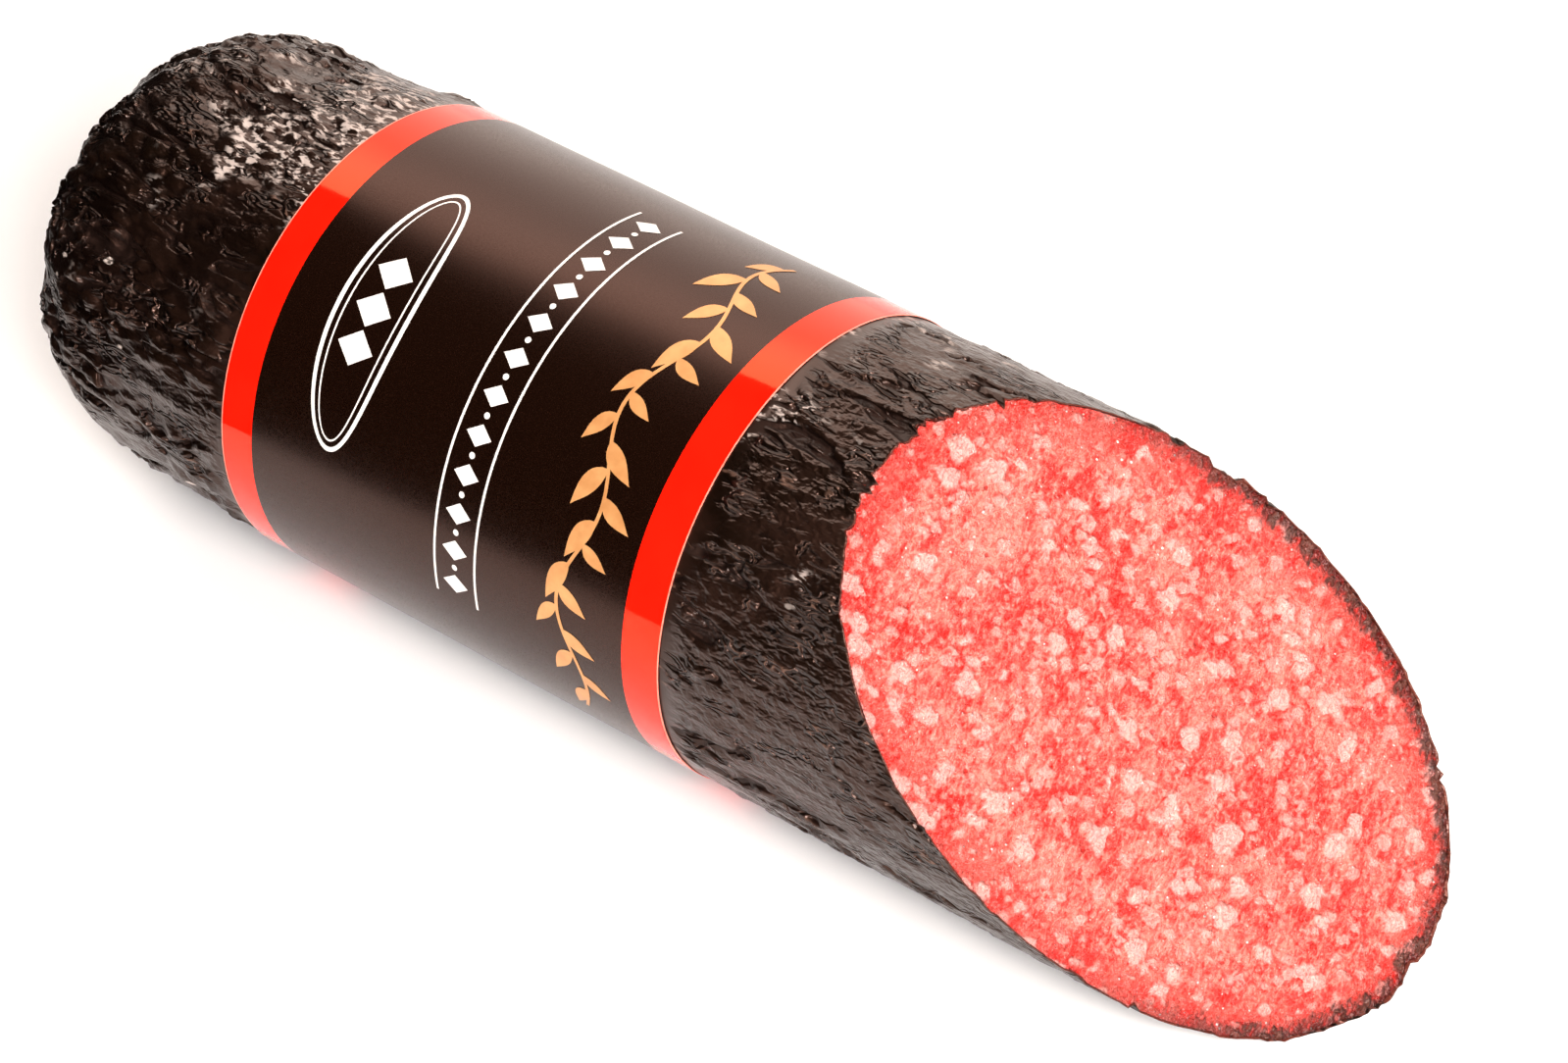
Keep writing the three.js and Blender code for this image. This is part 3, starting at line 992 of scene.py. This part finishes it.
leaf_row = add("GeometryNodeMeshLine", {
    "Count": 23, "Start Location": (-53 * MM, 0, 0),
    "Offset": vector(x=given["Leaf spacing"])})["Mesh"]
leaf_row = swung(leaf_row, given["Swing"])
number = add("GeometryNodeInputIndex")[0]
side = plus(times(maths("MODULO", number, 2.0), 2.0), -1.0)
swerve = add("FunctionNodeRandomValue", {"Min": 0.62, "Max": 0.95, "Seed": 3}, data_type="FLOAT")["Value"]
leaf_turn = vector(z=times(side, swerve))
leaf_size = add("FunctionNodeRandomValue", {"Min": 0.75, "Max": 1.1, "Seed": 8}, data_type="FLOAT")["Value"]
leaves = add("GeometryNodeInstanceOnPoints", {
    "Points": leaf_row, "Instance": leaf, "Rotation": leaf_turn, "Scale": leaf_size})[0]
finished_print([stem, leaves], copper_foil)

# %% White border and cartouche
border, given = new_geometry_tree("Border and cartouche", {
    "Border length": 90 * MM, "Border height": 9.4 * MM, "Rule width": 0.5 * MM, "Motif spacing": 7.5 * MM,
    "Border place": 15.0 * MM, "Cartouche length": 54 * MM, "Cartouche height": 15 * MM,
    "Cartouche place": -16.0 * MM})


def moved_along(geometry, distance):
    shift = vector(y=distance)
    return add("GeometryNodeTransform", {"Geometry": geometry, "Translation": shift})[0]


rule = grid(given["Border length"], given["Rule width"], 110)
half_height = times(given["Border height"], 0.5)
upper_rule = moved_along(rule, plus(given["Border place"], half_height))
lower_rule = moved_along(rule, plus(given["Border place"], times(half_height, -1.0)))


def motif_row(corners, size, stretch, count, spacing, place):
    """A row of small filled shapes, at that place along the sausage."""
    shape = add("GeometryNodeMeshCircle", {"Vertices": corners, "Radius": size}, fill_type="TRIANGLE_FAN")[0]
    shape = add("GeometryNodeSubdivideMesh", {"Mesh": shape, "Level": 2 if corners < 8 else 0})[0]
    shape = add("GeometryNodeTransform", {"Geometry": shape, "Scale": (1.0, stretch, 1.0)})[0]
    first = vector(x=times(spacing, -0.5 * (count - 1)))
    step = vector(x=spacing)
    row = add("GeometryNodeMeshLine", {"Count": count, "Start Location": first, "Offset": step})["Mesh"]
    row = moved_along(row, place)
    return add("GeometryNodeInstanceOnPoints", {"Points": row, "Instance": shape})[0]


diamonds = motif_row(4, 2.1 * MM, 1.35, 12, given["Motif spacing"], given["Border place"])
dots = motif_row(12, 0.62 * MM, 1.0, 11, given["Motif spacing"], given["Border place"])
wide_diamonds = motif_row(4, 3.4 * MM, 1.2, 3, given["Motif spacing"], given["Cartouche place"])


def oval_line(inset, width):
    """A closed oval line, drawn in by inset from the cartouche's size."""
    line = grid(1.0, 1.0, 97)
    flat = place_xyz()
    angle = times(flat["X"], 2 * math.pi)
    reach = plus(times(flat["Y"], width), -inset)
    across = plus(times(given["Cartouche length"], 0.5), reach)
    upright = plus(times(given["Cartouche height"], 0.5), reach)
    x = times(across, maths("COSINE", angle))
    y = times(upright, maths("SINE", angle))
    place = vector(x=x, y=plus(y, given["Cartouche place"]))
    line = add("GeometryNodeSetPosition", {"Geometry": line, "Position": place})[0]
    return add("GeometryNodeMergeByDistance", {"Geometry": line, "Distance": 0.01 * MM})[0]


finished_print([upper_rule, lower_rule, diamonds, dots, wide_diamonds,
                        oval_line(0.0, 0.9 * MM), oval_line(1.7 * MM, 0.35 * MM)], white_ink)

# %% Wind the prints onto the band
PRINT_LIFT = 0.07 * MM
PRINT_THICK = 0.025 * MM


def wound_print(name, tree, values, middle_along, middle_angle):
    """Makes a flat pattern and winds it on. Its X runs down the near side, its Y towards the cut."""
    obj = placed(name, bpy.data.meshes.new(name))
    mesh = made_plain(obj, tree, values)
    wound = [on_band(middle_along + y, middle_angle + x / BAND_RADIUS, PRINT_LIFT)
             for x, y, z in points_of(mesh)]
    mesh.vertices.foreach_set("co", np.array(wound, np.float32).ravel())
    mesh.flip_normals()
    mesh.shade_smooth()
    mesh.update()
    thickened(obj, PRINT_THICK)
    print(name, "faces:", len(obj.data.polygons))
    return obj


sprig_print = wound_print(
    "copper_sprig_print", sprig, {"Swing": 2.6 * MM}, 150 * MM, math.radians(136))
white_print = wound_print(
    "white_border_print", border, {"Rule width": 0.5 * MM}, 109 * MM, math.radians(131))

# %% [markdown]
# ## The clip
#
# The clip is a short length of aluminium wire, bent round the gathered skin and crimped until
# its ends nearly meet. An arc with a rounded section swept along it gives just that.

# %% Clip
aluminium = new_material("drawn_aluminium_wire")
here = object_place()
draw_lines = vectors("MULTIPLY", here, (8000.0, 900.0, 900.0))
scratches = speckle(draw_lines, 1.0, 3.0)
metal_colour = mixed(scratches, "b4b6b8", "d9dbdd")
bump = bumped(scratches, 0.05 * MM, 0.3)
surfaced(metal_colour, ramp(scratches, 0.3, 0.7, 0.25, 0.4), metallic=1.0, normal=bump)

clip_size = clip_high - clip_low
clip_middle = (clip_high + clip_low) / 2
clip_tree, given = new_geometry_tree("Crimped wire clip", {
    "Loop radius": clip_size.z / 2 - 1.1 * MM, "Wire width": clip_size.x, "Wire height": 2.2 * MM})
arc = add("GeometryNodeCurveArc", {
    "Resolution": 64, "Radius": given["Loop radius"], "Start Angle": math.radians(-78),
    "Sweep Angle": math.radians(336)})["Curve"]
section = add("GeometryNodeCurvePrimitiveQuadrilateral", {
    "Width": given["Wire height"], "Height": given["Wire width"]})[0]
section = add("GeometryNodeFilletCurve", {
    "Curve": section, "Radius": 0.7 * MM, "Count": 4, "Limit Radius": True}, mode="POLY")[0]
wire = add("GeometryNodeCurveToMesh", {
    "Curve": arc, "Profile Curve": section, "Fill Caps": True})[0]
upright = add("GeometryNodeTransform", {
    "Geometry": wire, "Rotation": (math.radians(90), 0, math.radians(90)), "Translation": clip_middle})[0]

finished = add("GeometryNodeSetMaterial", {"Geometry": upright, "Material": aluminium})[0]
add("NodeGroupOutput", {"Geometry": finished})
clip = placed("clip_wire", bpy.data.meshes.new("clip_wire"))
clip_mesh = made_plain(clip, clip_tree, {"Wire height": 2.2 * MM})
clip_mesh.shade_smooth()
print("clip faces:", len(clip_mesh.polygons))

# %% [markdown]
# ## Riding on the CAD model
#
# Each finished piece stands for one node of the CAD model: it hangs from the root body, and that node's own
# mesh is hidden.

# %% Tie the pieces to the frame
for piece, node in ((skin, "casing"), (meat, "meat"), (band, "label"), (clip, "clip")):
    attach(piece, "root")
    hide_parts(node)
for piece in (sprig_print, white_print):
    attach(piece, "root")

# %% [markdown]
# ## Stage and light
#
# The sausage lies on a white table, which glows a little of itself, faintly near the sausage and
# more far off: painted light that lifts its shadows. A large lit cloth leans over it from behind,
# brightest at its upper edge, and draws the long highlight along its crest. A smaller light past
# the cut end lights the meat and the flank. A black flag on the other side, seen only in
# reflections, ends the mirrored table in a crisp line low on the band. The cloth is hidden from
# the camera, so that views from behind aren't blocked, and only the camera sees the pale walls
# far off.

# %% Stage
sideways = Vector((math.cos(camera.rotation_euler.z), math.sin(camera.rotation_euler.z), 0))
backward = Vector((-sideways.y, sideways.x, 0))
upward = Vector((0, 0, 1))


def quad(name, corners, material):
    """A flat four-cornered piece of the stage. Corners are (sideways, backward, upward)."""
    mesh = bpy.data.meshes.new(name)
    points = [sideways * corner[0] + backward * corner[1] + upward * corner[2] for corner in corners]
    mesh.from_pydata(points, [], [(0, 1, 2, 3)])
    mesh.materials.append(material)
    obj = placed(name, mesh)
    return obj


def glowing(colour, strength):
    """Ends a material in plain light."""
    emission = add("ShaderNodeEmission", {"Color": colour, "Strength": strength})[0]
    add("ShaderNodeOutputMaterial", {"Surface": emission})


def hidden_from(obj, *kinds):
    """Keeps these kinds of ray from seeing a piece of the stage."""
    for kind in kinds:
        setattr(obj, "visible_" + kind, False)


# The paper glows a little of itself, faintly near the sausage and more far off: painted light that lifts the
# shadows on the table.
glowing_paper = new_material("white_paper_with_painted_glow")
far_away = add("ShaderNodeVectorMath", {0: object_place()}, operation="LENGTH")["Value"]
floor_glow = ramp(far_away, 1.2, 2.6, 0.12, 0.6)
surfaced("f1f2f3", 0.8, emission_color=linear("f2f6ff"), emission_strength=floor_glow)
quad("floor", [(-3, -3, 0), (3, -3, 0), (3, 3, 0), (-3, 3, 0)], glowing_paper)

lit_cloth = new_material("lit_cloth")
cloth_height = parts_of(object_place())["Z"]
glow = ramp(cloth_height, 0.72, 1.02, 1.55, 3.2)
glowing((1.25, 1.08, 0.96, 1.0), glow)
cloth = quad(
    "back_cloth", [(-1.1, 1.44, 0.0), (0.8, 1.44, 0.0), (0.8, 0.594, 1.19), (-1.1, 0.594, 1.19)], lit_cloth)
hidden_from(cloth, "camera")

felt = new_material("black_felt")
nap = add(NOISE, {"Vector": object_place(), "Scale": 900.0})["Fac"]
surfaced(mixed(nap, "050403", "0a0807"), 1.0, specular_ior_level=0.0)
FLAG_X = -0.175
flag = quad(
    "black_flag", [(FLAG_X, -1.2, 0.0), (FLAG_X, 1.2, 0.0), (FLAG_X, 1.2, 0.28), (FLAG_X, -1.2, 0.28)], felt)
hidden_from(flag, "camera", "diffuse", "shadow", "transmission")

backdrop = new_material("pale_backdrop")
fade = ramp(parts_of(object_place())["Z"], 0.0, 2.5, 0.72, 0.84)
glowing((1.0, 0.99, 0.98, 1.0), fade)
FAR = 3
far_corners = [(-FAR, -FAR), (FAR, -FAR), (FAR, FAR), (-FAR, FAR)]
for number, (x, y) in enumerate(far_corners):
    next_x, next_y = far_corners[(number + 1) % 4]
    corners = [(x, y, 0), (next_x, next_y, 0), (next_x, next_y, FAR), (x, y, FAR)]
    wall = quad(f"backdrop_{number + 1}", corners, backdrop)
    hidden_from(wall, "diffuse", "glossy", "shadow", "transmission")

# %% Lights and surroundings
def area_light(name, place, aim, width, height, radiance, colour):
    """A rectangular light, given by the brightness of its face."""
    data = bpy.data.lights.new(name, "AREA")
    data.shape = "RECTANGLE"
    data.size = width
    data.size_y = height
    data.energy = radiance * math.pi * width * height
    data.color = colour
    light = placed(name, data)
    light.location = place
    light.rotation_euler = (Vector(aim) - Vector(place)).to_track_quat("-Z", "Y").to_euler()


area_light("cut_light", (0.9, -0.66, 0.85), (0.03, 0.0, 0.05), 0.55, 0.55, 40.0, (1.0, 0.92, 0.87))

world = bpy.data.worlds.new("studio")
world.use_nodes = True
drawing["tree"] = world.node_tree
world.node_tree.nodes.clear()
direction = parts_of(add("ShaderNodeTexCoord")["Generated"])["X"]
sky = mixed(ramp(direction, -0.3, 0.6), "171311", "8f8985")
add("ShaderNodeOutputWorld", {"Surface": add("ShaderNodeBackground", {"Color": sky})[0]})
scene.world = world
scene.view_settings.view_transform = "Standard"
